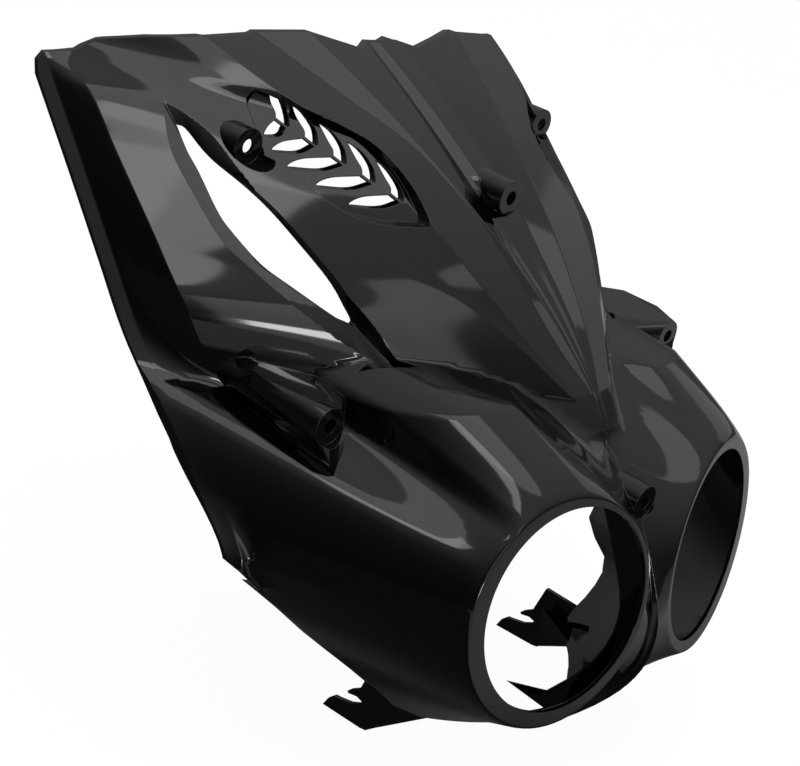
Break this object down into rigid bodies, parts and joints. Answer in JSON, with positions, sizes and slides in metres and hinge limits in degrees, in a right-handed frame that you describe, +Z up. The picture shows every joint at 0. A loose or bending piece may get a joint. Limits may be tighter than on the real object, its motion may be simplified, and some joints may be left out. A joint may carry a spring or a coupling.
{
  "type": "headlight cowl",
  "caption": "Front cowl with two round lamp openings, a raised centre ridge, side slots, louvres, screw seats and lower hooks.",
  "frame": {"origin": "midway between the two lamp openings, at the height of their axes, where the axes cross the slanted rims", "axes": "+X across the cowl, -Y out of the lamp openings towards the front, +Z up"},
  "size_m": [0.414, 0.3613, 0.376],
  "materials": {
    "gloss_black": "gloss"
  },
  "bodies": {
    "root": {"cowl": "gloss_black"}
  },
  "joints": []
}
